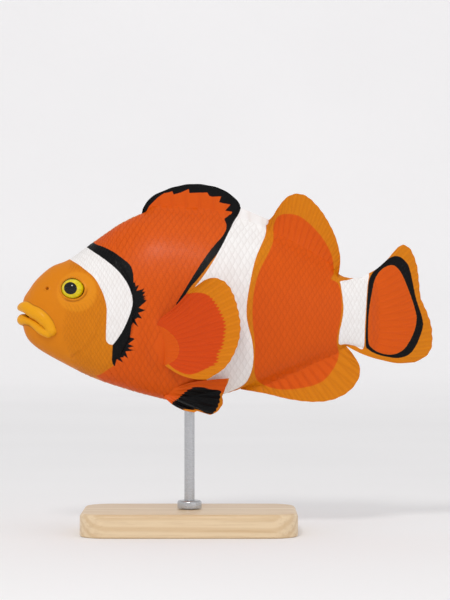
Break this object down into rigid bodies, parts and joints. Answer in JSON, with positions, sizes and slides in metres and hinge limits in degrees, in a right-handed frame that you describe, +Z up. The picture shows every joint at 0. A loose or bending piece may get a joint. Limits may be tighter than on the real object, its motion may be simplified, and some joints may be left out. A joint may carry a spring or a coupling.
{
  "type": "clownfish",
  "caption": "Life-size clownfish display model in swimming pose, orange with black-edged white bars, its fins spread, held on a rod over a flat wooden base.",
  "frame": {"origin": "on the table, under the middle of the whole model's box", "axes": "+X from snout to tail, +Y to the fish's right side, +Z up"},
  "size_m": [0.09, 0.0328, 0.0747],
  "materials": {
    "head_skin": "golden ochre skin with fine scales, painted and varnished",
    "body_skin": "deep orange scaled skin with white bars edged in black, painted and varnished",
    "lips": "smooth yellow-orange lips, satin",
    "fins": "orange rayed fins with black bands, satin",
    "eyes": "glassy eye with a yellow iris and a black pupil",
    "stand_wood": "pale maple, satin varnish",
    "stand_steel": "fine brushed steel"
  },
  "bodies": {
    "root": {"head": "head_skin", "trunk": "body_skin", "tail_stalk": "body_skin", "lips": "lips", "eye_left": "eyes", "eye_right": "eyes", "dorsal_fin_spiny": "fins", "dorsal_fin_soft": "fins", "anal_fin": "fins", "tail_fin": "fins", "pectoral_fin_left": "fins", "pectoral_fin_right": "fins", "pelvic_fin_left": "fins", "pelvic_fin_right": "fins", "stand_base": "stand_wood", "stand_rod": "stand_steel", "stand_collar": "stand_steel"}
  },
  "joints": []
}
